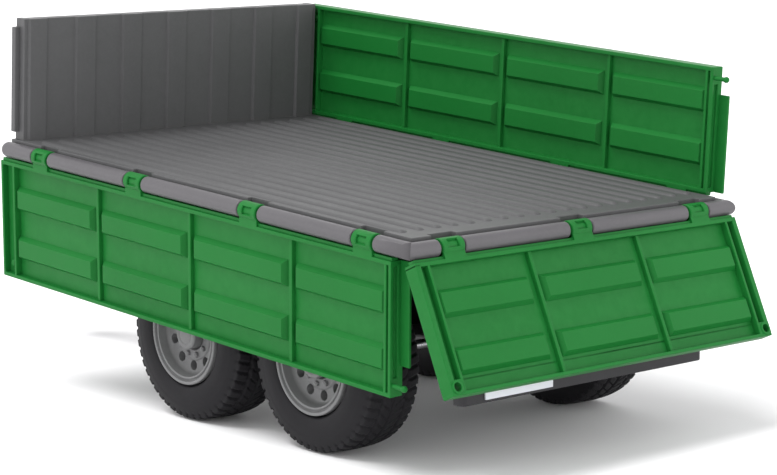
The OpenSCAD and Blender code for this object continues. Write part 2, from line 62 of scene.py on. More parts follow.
# ------------------------------------------------------------------ mesh building
class Part:
    """Several closed shells, each with its own rounded edges, in one mesh."""

    def __init__(self):
        self.bm = bmesh.new()

    def take(self, tmp, r=0.0, seg=2, ang=24):
        bmesh.ops.recalc_face_normals(tmp, faces=tmp.faces)
        if r > 0:
            es = [e for e in tmp.edges if len(e.link_faces) == 2 and e.calc_face_angle(0) > radians(ang)]
            if es:
                bmesh.ops.bevel(tmp, geom=es, offset=r, offset_type='OFFSET', segments=seg, profile=0.5,
                                affect='EDGES', clamp_overlap=True, miter_outer='ARC')
        me = bpy.data.meshes.new("t")
        tmp.to_mesh(me)
        tmp.free()
        self.bm.from_mesh(me)
        bpy.data.meshes.remove(me)

    def loft(self, lo, hi, r=0.3, seg=2):
        """Closed shell between two polygons with equal point counts."""
        b = bmesh.new()
        a = [b.verts.new(p) for p in lo]
        c = [b.verts.new(p) for p in hi]
        n = len(a)
        b.faces.new(a[::-1])
        b.faces.new(c)
        for i in range(n):
            b.faces.new((a[i], a[(i + 1) % n], c[(i + 1) % n], c[i]))
        self.take(b, r, seg)

    def box(self, p, q, r=0.3, seg=2):
        (x0, y0, z0), (x1, y1, z1) = p, q
        self.loft([(x0, y0, z0), (x1, y0, z0), (x1, y1, z0), (x0, y1, z0)],
                  [(x0, y0, z1), (x1, y0, z1), (x1, y1, z1), (x0, y1, z1)], r, seg)

    def prism(self, pts, axis, h0, h1, r=0.3, seg=2):
        """pts in (x,y) for axis z, (x,z) for axis y, (y,z) for axis x."""
        put = {'z': lambda p, h: (p[0], p[1], h), 'y': lambda p, h: (p[0], h, p[1]), 'x': lambda p, h: (h, p[0], p[1])}[axis]
        self.loft([put(p, h0) for p in pts], [put(p, h1) for p in pts], r, seg)

    def ridge(self, x0, x1, z0, z1, d=1.9, b=1.5):
        """Raised panel field: sloping on all four sides, soft at the crest."""
        base = [(x0, 0.5, z0), (x1, 0.5, z0), (x1, 0.5, z1), (x0, 0.5, z1)]
        mid = [(x0, 0.3, z0), (x1, 0.3, z0), (x1, 0.3, z1), (x0, 0.3, z1)]
        top = [(x0 + b, -d, z0 + b), (x1 - b, -d, z0 + b), (x1 - b, -d, z1 - b), (x0 + b, -d, z1 - b)]
        t = bmesh.new()
        vs = [[t.verts.new(p) for p in row] for row in (base, mid, top)]
        t.faces.new(vs[0][::-1])
        t.faces.new(vs[2])
        for k in (0, 1):
            for i in range(4):
                t.faces.new((vs[k][i], vs[k][(i + 1) % 4], vs[k + 1][(i + 1) % 4], vs[k + 1][i]))
        self.take(t, 0.42, 3)

    def lathe(self, prof, axis='x', n=64, o=(0, 0, 0), closed=False, a0=0.0, a1=360.0):
        """prof: (radius, height) points. closed: the profile is a loop. Part turns get end caps."""
        full = abs(a1 - a0) >= 359.9
        m = n if full else n + 1
        t = bmesh.new()

        def at(r, h, a):
            c, s = r * cos(a), r * sin(a)
            return {'x': (h, c, s), 'y': (s, h, c), 'z': (c, s, h)}[axis]

        rings = []
        for (r, h) in prof:
            if r < 1e-6:
                v = t.verts.new(Vector(at(0, h, 0)) + Vector(o))
                rings.append([v] * m)
            else:
                rings.append([t.verts.new(Vector(at(r, h, radians(a0 + (a1 - a0) * k / n))) + Vector(o)) for k in range(m)])
        pairs = list(zip(rings, rings[1:])) + ([(rings[-1], rings[0])] if closed else [])
        for A, B in pairs:
            for k in range(m if full else m - 1):
                j = (k + 1) % m
                q = []
                for v in (A[k], A[j], B[j], B[k]):
                    if v not in q:
                        q.append(v)
                if len(q) > 2:
                    t.faces.new(q)
        if not full and closed:
            t.faces.new([r[0] for r in rings])
            t.faces.new([r[-1] for r in rings][::-1])
        bmesh.ops.recalc_face_normals(t, faces=t.faces)
        self.take(t)

    def finish(self, name, M, body, nodes, slot, mats, sharp=38, weighted=True, cut=None):
        bmesh.ops.transform(self.bm, matrix=MM @ M, verts=self.bm.verts)
        return settle(self.bm, name, body, nodes, mats, sharp, weighted)


def settle(bm, name, body, nodes, mats, sharp=38, weighted=True):
    bmesh.ops.recalc_face_normals(bm, faces=bm.faces)
    for f in bm.faces:
        f.smooth = True
    for e in bm.edges:
        e.smooth = not (len(e.link_faces) == 2 and e.calc_face_angle(0) > radians(sharp))
    me = bpy.data.meshes.new(name)
    bm.to_mesh(me)
    bm.free()
    ob = bpy.data.objects.new(name, me)
    scene.collection.objects.link(ob)
    for m in (mats if isinstance(mats, list) else [mats]):
        me.materials.append(m)
    if weighted:
        w = ob.modifiers.new("wn", 'WEIGHTED_NORMAL')
        w.keep_sharp = True
        w.weight = 60
    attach(ob, body)
    if nodes:
        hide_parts(*nodes)
    return ob


def refined(node, body, mat, r=0.3, seg=2, ang=40, name=None, flat=1.0):
    """The CAD node's own shape with merged flats and rounded edges."""
    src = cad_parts[node]
    bm = bmesh.new()
    bm.from_mesh(src.data)
    bmesh.ops.transform(bm, matrix=Matrix.Scale(1000, 4), verts=bm.verts)
    bmesh.ops.remove_doubles(bm, verts=bm.verts, dist=0.002)
    bmesh.ops.dissolve_limit(bm, angle_limit=radians(flat), use_dissolve_boundaries=False, verts=bm.verts, edges=bm.edges)
    if r > 0:
        es = [e for e in bm.edges if len(e.link_faces) == 2 and e.calc_face_angle(0) > radians(ang)]
        bmesh.ops.bevel(bm, geom=es, offset=r, offset_type='OFFSET', segments=seg, profile=0.5, affect='EDGES', clamp_overlap=True)
    bmesh.ops.transform(bm, matrix=Matrix.Scale(0.001, 4), verts=bm.verts)
    bm.normal_update()
    return settle(bm, name or node + "_look", body, [node], mat)


# ------------------------------------------------------------------ materials
def plastic(name, col, rough=0.4, spec=0.4, var=0.10, grain=0.35, grain_size=0.35, wear=0.12, scuff=0.05,
            metallic=0.0, coat=0.0, sheen_dark=0.0, flow=(1, 1, 1), hue=None):
    m = bpy.data.materials.new(name)
    m.use_nodes = True
    nt = m.node_tree
    N, L = nt.nodes, nt.links
    b = next(x for x in N if x.type == 'BSDF_PRINCIPLED')
    tc = N.new('ShaderNodeTexCoord')
    mp = N.new('ShaderNodeMapping')
    mp.inputs['Scale'].default_value = flow
    L.new(tc.outputs['Object'], mp.inputs['Vector'])

    def noise(scale, detail=4.0, rough_=0.55, vec=None):
        n = N.new('ShaderNodeTexNoise')
        n.inputs['Scale'].default_value = scale
        n.inputs['Detail'].default_value = detail
        n.inputs['Roughness'].default_value = rough_
        L.new((vec or mp.outputs['Vector']), n.inputs['Vector'])
        return n

    def ramp(src, p0, c0, p1, c1):
        r = N.new('ShaderNodeValToRGB')
        r.color_ramp.elements[0].position, r.color_ramp.elements[0].color = p0, c0
        r.color_ramp.elements[1].position, r.color_ramp.elements[1].color = p1, c1
        L.new(src, r.inputs['Fac'])
        return r

    def mix(fac, a, c, mode='MIX'):
        x = N.new('ShaderNodeMix')
        x.data_type = 'RGBA'
        x.blend_type = mode
        if isinstance(fac, float):
            x.inputs[0].default_value = fac
        else:
            L.new(fac, x.inputs[0])
        for sock, v in ((x.inputs[6], a), (x.inputs[7], c)):
            if isinstance(v, tuple):
                sock.default_value = v
            else:
                L.new(v, sock)
        return x.outputs[2]

    dark = tuple(c * (1 - var) for c in col) + (1,)
    light = tuple(min(1, c * (1 + var)) for c in (hue or col)) + (1,)
    cloud = noise(14.0, 3.0)                      # slow tone drift of a moulding
    fine = noise(900.0, 2.0)                      # pigment speckle
    base = mix(ramp(cloud.outputs['Fac'], 0.35, (0, 0, 0, 1), 0.68, (1, 1, 1, 1)).outputs['Color'], dark, light)
    base = mix(ramp(fine.outputs['Fac'], 0.42, (0, 0, 0, 1), 0.62, (1, 1, 1, 1)).outputs['Color'],
               base, mix(0.5, base, tuple(min(1, c * (1 + var * 1.6)) for c in col) + (1,)))
    # worn, paler edges and painted shade in the hollows (a darker copy of the base colour), from the mesh's own
    # curvature
    geo = N.new('ShaderNodeNewGeometry')
    edge = ramp(geo.outputs['Pointiness'], 0.515, (0, 0, 0, 1), 0.60, (1, 1, 1, 1))
    brk = noise(260.0, 3.0)
    em = N.new('ShaderNodeMath'); em.operation = 'MULTIPLY'
    L.new(edge.outputs['Color'], em.inputs[0])
    L.new(ramp(brk.outputs['Fac'], 0.30, (0.25, 0.25, 0.25, 1), 0.65, (1, 1, 1, 1)).outputs['Color'], em.inputs[1])
    em2 = N.new('ShaderNodeMath'); em2.operation = 'MULTIPLY'
    L.new(em.outputs[0], em2.inputs[0]); em2.inputs[1].default_value = wear
    pale = tuple(min(1, c * 1.6 + 0.025) for c in col) + (1,)
    base = mix(em2.outputs[0], base, pale)
    # painted shade: low pointiness (hollows, creases) pulls the base colour towards 55% of itself, at 35% strength
    painted_hollow_shade = ramp(geo.outputs['Pointiness'], 0.40, (1, 1, 1, 1), 0.495, (0, 0, 0, 1))
    hm = N.new('ShaderNodeMath'); hm.operation = 'MULTIPLY'
    L.new(painted_hollow_shade.outputs['Color'], hm.inputs[0]); hm.inputs[1].default_value = 0.35
    base = mix(hm.outputs[0], base, tuple(c * 0.55 for c in col) + (1,))
    L.new(base, b.inputs['Base Color'])
    # roughness: satin, with handling marks
    smear = noise(45.0, 5.0, 0.65)
    rr = N.new('ShaderNodeMapRange')
    rr.inputs['From Min'].default_value, rr.inputs['From Max'].default_value = 0.3, 0.7
    rr.inputs['To Min'].default_value, rr.inputs['To Max'].default_value = rough - scuff, rough + scuff
    L.new(smear.outputs['Fac'], rr.inputs['Value'])
    L.new(rr.outputs['Result'], b.inputs['Roughness'])
    # spark-eroded mould grain
    g = noise(1000.0 / grain_size, 2.0, 0.6)
    g2 = noise(180.0, 3.0, 0.5)
    ga = N.new('ShaderNodeMath'); ga.operation = 'ADD'
    gm = N.new('ShaderNodeMath'); gm.operation = 'MULTIPLY'
    L.new(g2.outputs['Fac'], gm.inputs[0]); gm.inputs[1].default_value = 0.8
    L.new(g.outputs['Fac'], ga.inputs[0]); L.new(gm.outputs[0], ga.inputs[1])
    bp = N.new('ShaderNodeBump')
    bp.inputs['Strength'].default_value = grain
    bp.inputs['Distance'].default_value = 0.00006
    L.new(ga.outputs[0], bp.inputs['Height'])
    L.new(bp.outputs['Normal'], b.inputs['Normal'])
    b.inputs['Specular IOR Level'].default_value = spec
    b.inputs['Metallic'].default_value = metallic
    b.inputs['Coat Weight'].default_value = coat
    m.diffuse_color = tuple(col) + (1,)
    return m


def lin(*rgb):
    return tuple(((c / 255) / 12.92 if c <= 10 else (((c / 255) + 0.055) / 1.055) ** 2.4) for c in rgb)


GREEN = plastic("green_plastic", (0.0058, 0.120, 0.0184), rough=0.44, spec=0.12, var=0.05, wear=0.16, hue=(0.0070, 0.127, 0.0204))
GREY = plastic("grey_plastic", lin(76, 76, 77), rough=0.46, spec=0.25, var=0.06, wear=0.14)
RAIL = plastic("rail_plastic", lin(80, 78, 81), rough=0.38, spec=0.35, var=0.05, wear=0.12)
BLACK = plastic("black_plastic", lin(32, 31, 34), rough=0.48, spec=0.28, var=0.12, wear=0.18)
TYRE = plastic("tyre_rubber", lin(23, 22, 25), rough=0.62, spec=0.18, var=0.14, grain=0.6, grain_size=0.5, wear=0.22)
RIM = plastic("rim_plastic", lin(104, 104, 105), rough=0.42, spec=0.35, var=0.06, wear=0.16)
STEEL = plastic("bare_steel", (0.55, 0.55, 0.57), rough=0.30, spec=0.5, var=0.06, grain=0.25, wear=0.2, metallic=1.0, flow=(1, 14, 14))
WHITE = plastic("white_plastic", lin(205, 208, 214), rough=0.35, spec=0.4, var=0.015, wear=0.05)


# ------------------------------------------------------------------ drop sides
def clip(p, x):
    """Hinge clip: a ring round the rail journal with a square window on its inner side."""
    ro, ri, w = 3.35, 1.98, 10.0
    x0 = x - w / 2
    c = 0.28
    full = lambda a, b: [(ri, a), (ri, b), (ro - c, b), (ro, b - c), (ro, a + c), (ro - c, a)]
    p.lathe(full(x0, x0 + 2.6), 'x', 40, closed=True)
    p.lathe(full(x0 + w - 2.6, x0 + w), 'x', 40, closed=True)
    # angles run from +y towards +z; the window lies on the -y side
    p.lathe([(ri, x0 + 2.3), (ri, x0 + w - 2.3), (ro, x0 + w - 2.3), (ro, x0 + 2.3)], 'x', 34, closed=True, a0=180 + 41 - 360, a1=180 - 19)
    p.lathe([(ri, x0 + 2.3), (ri, x0 + w - 2.3), (2.45, x0 + w - 2.3), (2.45, x0 + 2.3)], 'x', 40, closed=True)
    p.box((x0, -PIN, 2.05), (x0 + w, 2.2, PB + 0.6), 0.25)


def side_panel():
    p = Part()
    l = 239.0
    p.prism([(0, PB), (l, PB), (l, PT), (0, PT), (0, PT - 1.6), (l - 1.4, PT - 1.6), (l - 1.4, PB + 1.6), (0, PB + 1.6)], 'y', -PIN, POUT, 0.34)
    for y0, y1 in ((-PIN, -0.9), (1.1, POUT)):
        p.box((0, y0, PB + 0.9), (1.4, y1, PT - 0.9), 0.3)
    p.box((0.05, -1.3, 46), (1.35, 1.5, PT - 0.9), 0.2)
    p.box((0.05, -1.3, PB + 0.9), (1.35, 1.5, PB + 2), 0.2)
    p.box((1.0, 0.3, PB + 0.8), (l - 0.7, 1.8, PT - 0.8), 0.1, 1)
    for d in SIDE_DIV:
        p.box((d - 0.8, -1.4, PB + 1.0), (d + 0.8, 0.6, PT - 1.0), 0.3)
        p.box((d - 1.2, 1.6, PB + 1.0), (d + 1.2, 3.2, PT - 1.0), 0.3)
    p.box((l - 9.6, -PIN, PB + 1.0), (l - 8.3, 0.6, PT - 1.0), 0.32)
    p.box((2.4, -PIN, PB + 1.0), (3.7, 0.6, PT - 1.0), 0.32)
    p.lathe([(0, -0.8), (1.1, -0.8), (1.5, -0.4), (1.6, 0.5), (0, 0.5)], 'y', 24, (l - 4.9, 0, 47))
    p.box((-4.4, 2.4, PB), (0.6, POUT, 42), 0.3)
    # latch peg with a ball end
    prof = [(0, -6.8)] + [(1.2 * sin(a), -5.6 - 1.2 * cos(a)) for a in [radians(v) for v in range(15, 136, 15)]] + [(0.85, -4.5), (0.85, 1.8), (0, 1.8)]
    p.lathe(prof, 'x', 24, (0, -0.8, 48.5))
    for z0, z1 in RIDGES:
        e = [3.5] + [v for d in SIDE_DIV for v in (d - 2.0, d + 3.2)] + [l - 9.5]
        for a, b in zip(e[0::2], e[1::2]):
            p.ridge(a, b, z0, z1)
    p.box((0.45, -1.45, 3.34), (l - 0.45, 1.45, PB + 0.9), 0.3)      # lip that closes the gap to the rail
    for c in SIDE_CLIPS:
        clip(p, c - 5.6)
    return p


def eyelet(p, cx, x0, x1, z0, z1, y0, y1, r=1.6, cz=48.5):
    """Block with a round hole along y."""
    t = bmesh.new()
    n = 48
    loops = []
    for y in (y0, y1):
        outer, inner = [], []
        for k in range(n):
            a = 2 * pi * k / n + pi / n
            c, s = cos(a), sin(a)
            # meet the block's outline along the same direction
            f = min([((x1 - cx) / c) if c > 1e-9 else 1e9, ((x0 - cx) / c) if c < -1e-9 else 1e9,
                     ((z1 - cz) / s) if s > 1e-9 else 1e9, ((z0 - cz) / s) if s < -1e-9 else 1e9])
            outer.append(t.verts.new((cx + c * f, y, cz + s * f)))
            inner.append(t.verts.new((cx + c * r, y, cz + s * r)))
        # square the corners
        for (X, Z) in ((x0, z0), (x1, z0), (x1, z1), (x0, z1)):
            v = min(outer, key=lambda q: (q.co.x - X) ** 2 + (q.co.z - Z) ** 2)
            v.co.x, v.co.z = X, Z
        loops.append((outer, inner))
    (o0, i0), (o1, i1) = loops
    for k in range(n):
        j = (k + 1) % n
        t.faces.new((o0[k], o0[j], i0[j], i0[k]))
        t.faces.new((o1[k], i1[k], i1[j], o1[j]))
        t.faces.new((o0[k], o1[k], o1[j], o0[j]))
        t.faces.new((i0[k], i0[j], i1[j], i1[k]))
    p.take(t, 0.22, 2, 40)


def tailgate():
    p = Part()
    l = 163.8
    GT = 51.5                                      # free edge above the hinge axis
    p.box((0, -PIN, PB), (l, POUT, PB + 1.6), 0.34)
    p.box((0, -PIN, GT - 1.35), (l, POUT, GT), 0.34)
    for s in (0, 1):
        m = lambda a, b: (a, b) if not s else (l - b, l - a)
        x0, x1 = m(0, 2.3)
        p.box((x0, -PIN, PB + 0.6), (x1, POUT, 46.4), 0.34)
        x0, x1 = m(0, 5.5)
        eyelet(p, 2.7 if not s else l - 2.7, x0, x1, 45.9, 50.45, -PIN, POUT)
        p.lathe([(1.62, -PIN - 0.32), (2.05, -PIN - 0.38), (2.4, -PIN - 0.2), (2.45, -PIN + 0.2), (1.62, -PIN + 0.2)], 'y', 36, (2.7 if not s else l - 2.7, 0, 48.5), closed=True)
        x0, x1 = m(5.2, 6.4)
        p.box((x0, -PIN, PB + 1.0), (x1, 0.6, GT - 1.0), 0.3)
    p.box((1.0, 0.3, PB + 0.8), (l - 1.0, 1.8, 46.2), 0.1, 1)
    p.box((5.3, 0.3, 45.5), (l - 5.3, 1.8, GT - 0.8), 0.1, 1)
    for d in GATE_DIV:
        p.box((d - 0.8, -1.4, PB + 1.0), (d + 0.8, 0.6, GT - 1.0), 0.3)
        p.box((d - 1.2, 1.6, PB + 1.0), (d + 1.2, 3.2, GT - 1.0), 0.3)
    for z0, z1 in RIDGES:
        e = [6.3] + [v for d in GATE_DIV for v in (d - 2.0, d + 3.5)] + [l - 6.3]
        for a, b in zip(e[0::2], e[1::2]):
            p.ridge(a, b, z0, z1)
    p.box((0.45, -1.45, 3.34), (l - 0.45, 1.45, PB + 0.9), 0.3)
    for c in GATE_CLIPS:
        clip(p, c + 81.9)
    return p


side_panel().finish("left_drop_side", LEFT_PANEL, "left_panel", ["left_side_panel"], "green_plastic", GREEN)
side_panel().finish("right_drop_side", RIGHT_PANEL, "right_panel", ["right_side_panel"], "green_plastic", GREEN)
tailgate().finish("tailgate_shell", GATE, "gate", ["tailgate"], "green_plastic", GREEN)


# ------------------------------------------------------------------ bed
def deck():
    p = Part()
    X1, Y1 = 243.4, 77.75
    pts = [(0.45, -Y1)]
    for c in SIDE_CLIPS:                       # right edge, going forward
        pts += [(c - 5.8, -Y1), (c - 5.8, -75.62), (c + 5.8, -75.62), (c + 5.8, -Y1)]
    pts += [(X1, -Y1), (X1, Y1)]
    for c in SIDE_CLIPS[::-1]:
        pts += [(c + 5.8, Y1), (c + 5.8, 75.62), (c - 5.8, 75.62), (c - 5.8, Y1)]
    pts += [(0.45, Y1)]
    for c in GATE_CLIPS[::-1]:
        pts += [(0.45, c + 5.8), (2.9, c + 5.8), (2.9, c - 5.8), (0.45, c - 5.8)]
    p.prism(pts, 'z', -2.2, 0, 0.28)
    for s in (-1, 1):
        edges = [1.6] + [v for c in SIDE_CLIPS for v in (c - 5.8, c + 5.8)] + [X1]
        for a, b in zip(edges[0::2], edges[1::2]):
            y = s * 76.3
            p.box((a, y - 1.3, -6.3), (b, y + 0.9, -1.9), 0.25)
    edges = [-77.4] + [v for c in GATE_CLIPS for v in (c - 5.8, c + 5.8)] + [77.4]
    for a, b in zip(edges[0::2], edges[1::2]):
        p.box((1.1, a, -6.3), (4.05, b, -1.9), 0.25)
    # skirts that close the underside at the sides and the rear
    for s in (-1, 1):
        p.box((1.1, s * 74.5 - 1.05, -10.95), (X1, s * 74.5 + 1.05, -1.9), 0.25)
    p.box((1.05, -75.5, -10.95), (4.05, 75.5, -9.05), 0.25)
    p.box((2.95, -75.5, -10.0), (4.05, 75.5, -1.9), 0.2)
    # rounded ribs with tapering ends
    Rr = 2.6
    zc = RIB_H - Rr
    xa, xb = 11.0, 226.0
    floor_z = -0.25
    wmax = sqrt(Rr * Rr - (floor_z - zc) ** 2)
    caps = [wmax * cos(radians(v)) for v in (4, 15, 28, 42, 56, 70, 82)]
    stations = [xa - c for c in caps] + [xa + (xb - xa) * k / 24 for k in range(25)] + [xb + c for c in caps[::-1]]
    M = 12
    for i in range(RIB_N):
        y0 = (i - (RIB_N - 1) / 2) * RIB_PITCH
        t = bmesh.new()
        rows = []
        for x in stations:
            dx = max(xa - x, x - xb, 0)
            w = sqrt(max(wmax * wmax - dx * dx, 1e-4))
            row = []
            for k in range(M + 1):
                a = -1 + 2 * k / M
                y = w * sin(a * pi / 2)
                z = zc + sqrt(max(Rr * Rr - y * y - dx * dx, 0))
                row.append(t.verts.new((x, y0 + y, max(z, floor_z))))
            rows.append(row)
        for A, B in zip(rows, rows[1:]):
            for k in range(M):
                t.faces.new((A[k], A[k + 1], B[k + 1], B[k]))
        rim = [r[0] for r in rows] + rows[-1][1:] + [r[-1] for r in rows[::-1]][1:] + rows[0][1:-1][::-1]
        t.faces.new(rim)
        p.take(t)
    return p


deck().finish("ribbed_deck", BED, "bed", ["bed_deck"], "grey_plastic", GREY, sharp=50)


def rail_profile(l, centres, ends=(0.6, 0.6), round_end=False):
    """(radius, along) with filleted shoulders at each hinge journal."""
    Rb, rj, f = 3.1, 1.9, 0.55
    arc = lambda x, s, inward: [(Rb - f + f * cos(a), x + s * (f - f * sin(a))) for a in [radians(v) for v in ((90, 60, 30, 0) if inward else (0, 30, 60, 90))]]
    pr = [(0, 0)] + arc(0, 1, True)
    for c in centres:
        a, b = c - 5.8, c + 5.8
        pr += arc(a, -1, False) + [(rj + 0.25, a), (rj, a + 0.25), (rj, b - 0.25), (rj + 0.25, b)] + arc(b, 1, True)
    if round_end:
        pr += [(Rb * cos(a), l + Rb * sin(a)) for a in [radians(v) for v in range(0, 90, 12)]] + [(0, l + Rb)]
    else:
        pr += arc(l, -1, False) + [(0, l)]
    return pr


def mitre(part, co, no):
    g = part.bm.verts[:] + part.bm.edges[:] + part.bm.faces[:]
    r = bmesh.ops.bisect_plane(part.bm, geom=g, dist=1e-5, plane_co=co, plane_no=no, clear_outer=True, clear_inner=False)
    es = [e for e in r['geom_cut'] if isinstance(e, bmesh.types.BMEdge)]
    if es:
        bmesh.ops.edgeloop_fill(part.bm, edges=es)


for s, nm in ((1, "left_rail"), (-1, "right_rail")):
    p = Part()
    px1 = 244.6
    p.lathe(rail_profile(px1 - 3.1 + 8, [c + 8 for c in SIDE_CLIPS], round_end=True), 'x', 48, (-8, s * 80, -4))
    mitre(p, (-2, s * 80, -4), Vector((-1, s * 1, 0)).normalized())
    p.finish(nm + "_bar", BED, "bed", [nm], "rail_plastic", RAIL, sharp=60)
p = Part()
p.lathe(rail_profile(172, [c + 86 for c in GATE_CLIPS]), 'y', 48, (-2, -86, -4))
for s in (1, -1):
    mitre(p, (-1.94, s * 80, -4), Vector((1, -s * -1, 0)).normalized() if s > 0 else Vector((1, -1, 0)).normalized())
p.finish("rear_rail_bar", BED, "bed", ["rear_rail"], "rail_plastic", RAIL, sharp=60)


def front_wall():
    p = Part()
    H = 49.5
    p.box((236.4, -76.6, -0.3), (239.4, 76.6, H), 0.4)
    for k in range(-3, 4):
        y, w = k * 23.4, 4.0 if abs(k) == 3 else 4.7
        lo = [(236.8, y - w - 0.9), (235.4, y - w), (235.4, y + w), (236.8, y + w + 0.9)]
        p.loft([(a, b, -0.2) for a, b in lo], [(a, b, H) for a, b in lo], 0.3)
    for s in (-1, 1):
        y0, y1 = (73.6, 76.6) if s > 0 else (-76.6, -73.6)
        p.box((238.9, y0, -0.3), (242.4, y1, H), 0.4)
        y0, y1 = (76.2, 78.8) if s > 0 else (-78.8, -76.2)
        p.box((239.6, y0, 3.25), (242.4, y1, 46), 0.4)
    p.box((239.1, -73.9, 0), (242.4, 73.9, 3), 0.35)
    p.box((239.1, -73.9, H - 2.2), (241.4, 73.9, H), 0.35)
    return p


front_wall().finish("front_bulkhead", BED, "bed", ["front_wall"], "grey_plastic", GREY)


# ------------------------------------------------------------------ wheels
AXLES = {"front": 135.2, "rear": 60.2}


def spline(pts, n):
    """Catmull-Rom through pts, n steps per span."""
    out = []
    P = [pts[0]] + list(pts) + [pts[-1]]
    for i in range(1, len(P) - 2):
        p0, p1, p2, p3 = [Vector((*q, 0)) for q in P[i - 1:i + 3]]
        for k in range(n):
            t = k / n
            v = 0.5 * ((2 * p1) + (-p0 + p2) * t + (2 * p0 - 5 * p1 + 4 * p2 - p3) * t * t + (-p0 + 3 * p1 - 3 * p2 + p3) * t ** 3)
            out.append((v.x, v.y))
    out.append(tuple(pts[-1]))
    return out


LUGS = 50


def tyre():
    mid, Rt = 60.5, 33.5
    side = [(17.5, 10.3), (19.6, 10.5), (20.0, 11.6), (20.8, 12.35), (22.5, 12.72), (25, 12.78), (27.6, 12.35), (29.8, 11.75), (31.4, 11.1)]
    half = spline(side, 3)
    # tread: from the shoulder to the middle, every 0.45 mm
    tread = []
    n = 26
    for k in range(n + 1):
        u = k / n
        y = 10.75 * (1 - u)
        r = Rt - 0.55 * (y / 10.75) ** 4 - 0.25 * (y / 10.75) ** 2
        tread.append((r, y))
    prof = [(r, mid + y, 's') for r, y in half] + [(32.35, mid + 11.0, 'e')] + [(r, mid + y, 't') for r, y in tread]
    prof = [(r, 2 * mid - y, t) for r, y, t in prof] + [(r, y, t) for r, y, t in prof[::-1][1:]]
    inner = [(17.45, 70.4), (18.5, 69.5), (22, 69.0), (27.5, 68.0), (29.5, 65.4), (29.8, 60.5), (29.5, 55.6), (27.5, 53.0), (22, 52.0), (18.5, 51.5), (17.45, 50.6)]
    prof += [(r, y, 'i') for r, y in inner]
    nth = LUGS * 10
    t = bmesh.new()
    rings = []

    def depth(y, a, r):
        """How deep the tread is cut at this place."""
        h = y - mid
        s = abs(h)
        ph = a * LUGS / (2 * pi) + (0.5 if h > 0 else 0)
        z = abs(((ph) % 1.0) - 0.5) * 2                     # 0..1..0 along one lug pitch
        d = 0.0
        if s > 5.9:                                         # shoulder blocks, slightly skewed
            q = (ph + 0.055 * (s - 6)) % 1.0
            if q < 0.28:
                d = 0.85 if s < 11.2 else 0.6
        elif s > 4.9 + 0.5 * (z - 0.5):                     # zigzag groove
            d = 0.8
        elif s > 1.1:
            q = (ph * 0.5 + 0.30 + 0.09 * s) % 0.5
            if q < 0.07:
                d = 0.55
        elif s < 0.55 + 0.25 * (z - 0.5):
            d = 0.7
        return d

    for (r, y, kind) in prof:
        ring = []
        for k in range(nth):
            a = 2 * pi * k / nth
            rr, yy = r, y
            if kind == 't' or kind == 'e':
                rr = r - depth(y, a, r)
            elif kind == 's':
                s = abs(y - mid)
                ph = (a * LUGS / (2 * pi) + (0.5 if y > mid else 0) + 0.055 * 5) % 1.0
                if r > 30.4:                                # lug notches run a little way down the wall
                    if ph < 0.28:
                        yy = y - math.copysign(0.45 * min(1, (r - 30.4) / 0.8), y - mid)
                elif 24.2 < r < 24.9 or 28.2 < r < 28.7:     # fine wall beads
                    yy = y + math.copysign(0.12, y - mid)
            ring.append(t.verts.new((rr * sin(a), rr * cos(a), yy)))
        rings.append(ring)
    for i in range(len(rings)):
        A, B = rings[i], rings[(i + 1) % len(rings)]
        for k in range(nth):
            j = (k + 1) % nth
            t.faces.new((A[k], A[j], B[j], B[k]))
    p = Part()
    p.take(t)
    return p


